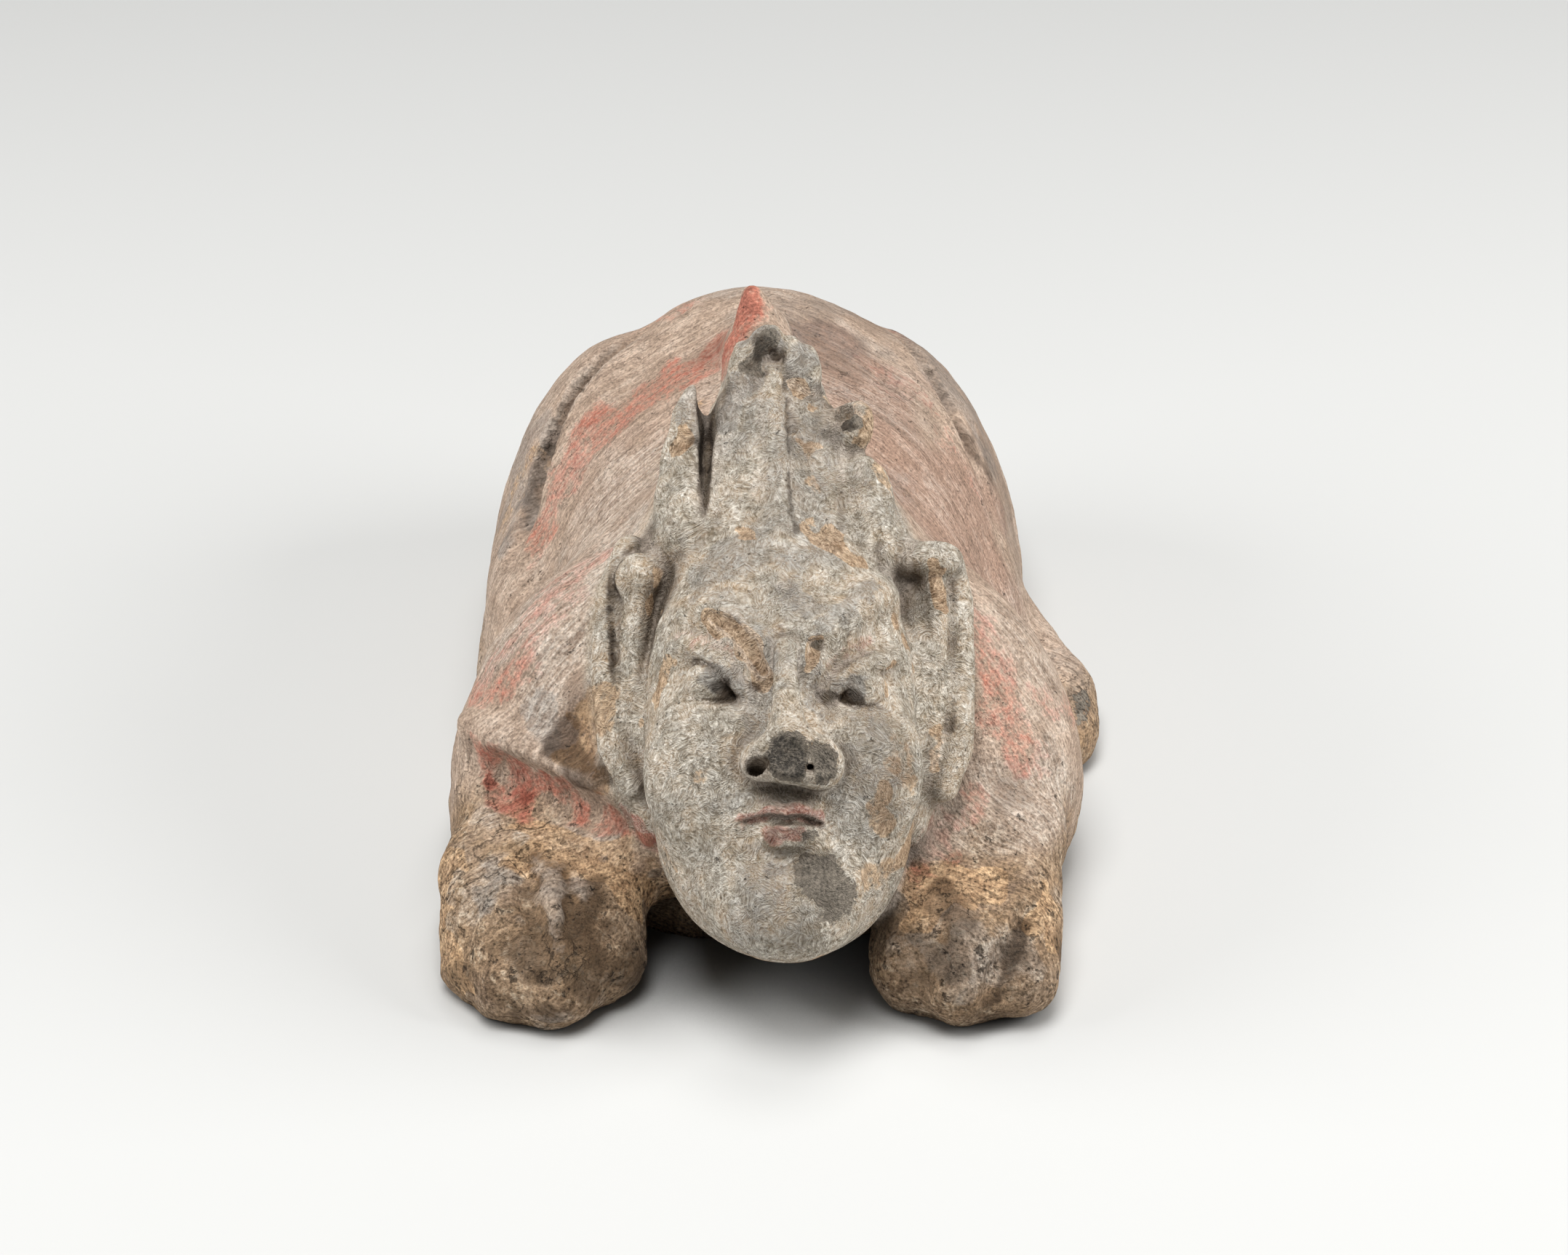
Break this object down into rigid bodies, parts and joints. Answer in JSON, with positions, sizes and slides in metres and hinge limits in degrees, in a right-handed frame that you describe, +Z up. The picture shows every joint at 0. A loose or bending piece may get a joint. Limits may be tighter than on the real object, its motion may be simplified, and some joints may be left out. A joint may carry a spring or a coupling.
{
  "type": "tomb guardian beast figure",
  "caption": "Crouching tomb guardian beast in grey earthenware: man-like face thrown back, tall horned crest, legs folded under, hollow body open underneath",
  "frame": {"origin": "middle of the footprint box, on the surface that it lies on", "axes": "X to the viewer's right, +Y from the face to the rump along the figure's length, +Z up"},
  "size_m": [0.1976, 0.2914, 0.148],
  "materials": {
    "earthenware": "matte, with worn white slip, ochre dirt and traces of red pigment"
  },
  "bodies": {
    "root": {"tomb_guardian_beast": "earthenware"}
  },
  "joints": []
}
